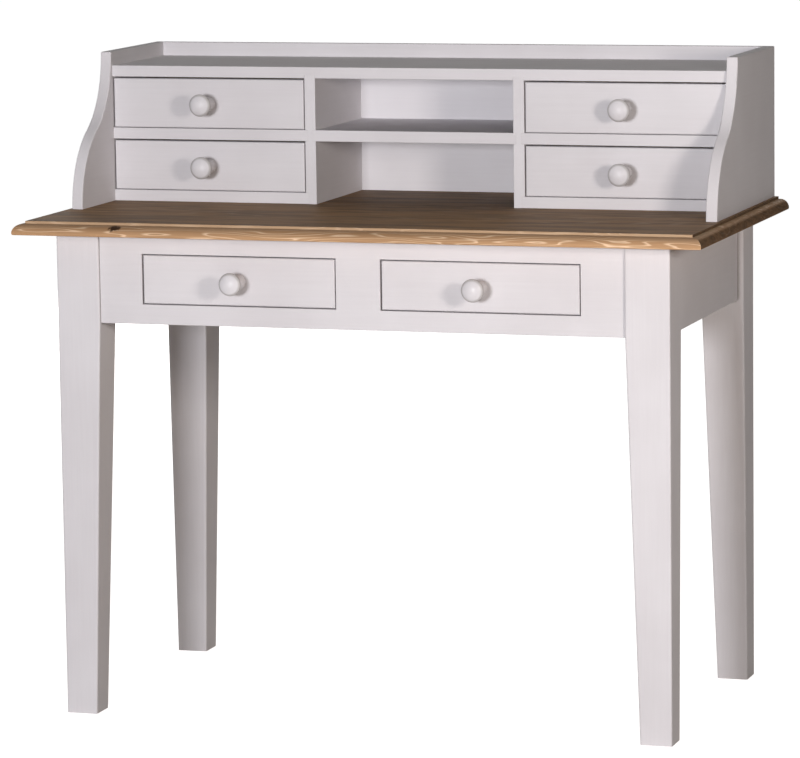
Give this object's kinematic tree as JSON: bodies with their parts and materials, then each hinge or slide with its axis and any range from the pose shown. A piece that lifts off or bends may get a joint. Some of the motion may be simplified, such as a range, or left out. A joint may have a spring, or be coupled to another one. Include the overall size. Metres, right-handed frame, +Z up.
{
  "type": "writing desk",
  "caption": "Painted writing desk with a stained moulded top on tapered legs, drawers in the apron and a low drawer hutch with an open nook between S-curved sides.",
  "frame": {"origin": "on the floor, under the middle of the desk's box", "axes": "+X to the sitter's right along the width, -Y to the front where the sitter is, +Z up"},
  "size_m": [1.1, 0.592, 1.024],
  "materials": {
    "paint": "satin brushed paint on pine",
    "stained_top": "brown stain and satin wax",
    "bare_pine": "planed, unfinished",
    "steel": "zinc plated"
  },
  "bodies": {
    "desk": {"apron_back": "paint", "apron_front": "paint", "apron_left": "paint", "apron_right": "paint", "back_panel_screws": "steel", "corner_blocks": "bare_pine", "desktop": "stained_top", "hutch_back_panel": "paint", "hutch_base_boards": "paint", "hutch_centre_shelf": "paint", "hutch_divider_left": "paint", "hutch_divider_right": "paint", "hutch_mid_board_left": "paint", "hutch_mid_board_right": "paint", "hutch_screws": "steel", "hutch_side_left": "paint", "hutch_side_right": "paint", "hutch_top_board": "paint", "leg_back_left": "paint", "leg_back_right": "paint", "leg_front_left": "paint", "leg_front_right": "paint", "table_drawer_kickers": "bare_pine", "table_drawer_runners": "bare_pine"},
    "table_drawer_left": {"table_drawer_left_back": "bare_pine", "table_drawer_left_bottom": "bare_pine", "table_drawer_left_front": "paint", "table_drawer_left_knob": "paint", "table_drawer_left_side_left": "bare_pine", "table_drawer_left_side_right": "bare_pine"},
    "table_drawer_right": {"table_drawer_right_back": "bare_pine", "table_drawer_right_bottom": "bare_pine", "table_drawer_right_front": "paint", "table_drawer_right_knob": "paint", "table_drawer_right_side_left": "bare_pine", "table_drawer_right_side_right": "bare_pine"},
    "hutch_drawer_upper_left": {"hutch_drawer_upper_left_back": "bare_pine", "hutch_drawer_upper_left_bottom": "bare_pine", "hutch_drawer_upper_left_front": "paint", "hutch_drawer_upper_left_knob": "paint", "hutch_drawer_upper_left_side_left": "bare_pine", "hutch_drawer_upper_left_side_right": "bare_pine"},
    "hutch_drawer_upper_right": {"hutch_drawer_upper_right_back": "bare_pine", "hutch_drawer_upper_right_bottom": "bare_pine", "hutch_drawer_upper_right_front": "paint", "hutch_drawer_upper_right_knob": "paint", "hutch_drawer_upper_right_side_left": "bare_pine", "hutch_drawer_upper_right_side_right": "bare_pine"},
    "hutch_drawer_lower_left": {"hutch_drawer_lower_left_back": "bare_pine", "hutch_drawer_lower_left_bottom": "bare_pine", "hutch_drawer_lower_left_front": "paint", "hutch_drawer_lower_left_knob": "paint", "hutch_drawer_lower_left_side_left": "bare_pine", "hutch_drawer_lower_left_side_right": "bare_pine"},
    "hutch_drawer_lower_right": {"hutch_drawer_lower_right_back": "bare_pine", "hutch_drawer_lower_right_bottom": "bare_pine", "hutch_drawer_lower_right_front": "paint", "hutch_drawer_lower_right_knob": "paint", "hutch_drawer_lower_right_side_left": "bare_pine", "hutch_drawer_lower_right_side_right": "bare_pine"}
  },
  "joints": [
    {"name": "table_drawer_left_slide", "type": "slide", "parent": "desk", "child": "table_drawer_left", "axis": [0, -1, 0], "range_m": [0, 0.3]},
    {"name": "table_drawer_right_slide", "type": "slide", "parent": "desk", "child": "table_drawer_right", "axis": [0, -1, 0], "range_m": [0, 0.3]},
    {"name": "hutch_drawer_upper_left_slide", "type": "slide", "parent": "desk", "child": "hutch_drawer_upper_left", "axis": [0, -1, 0], "range_m": [0, 0.15]},
    {"name": "hutch_drawer_upper_right_slide", "type": "slide", "parent": "desk", "child": "hutch_drawer_upper_right", "axis": [0, -1, 0], "range_m": [0, 0.15]},
    {"name": "hutch_drawer_lower_left_slide", "type": "slide", "parent": "desk", "child": "hutch_drawer_lower_left", "axis": [0, -1, 0], "range_m": [0, 0.15]},
    {"name": "hutch_drawer_lower_right_slide", "type": "slide", "parent": "desk", "child": "hutch_drawer_lower_right", "axis": [0, -1, 0], "range_m": [0, 0.15]}
  ]
}
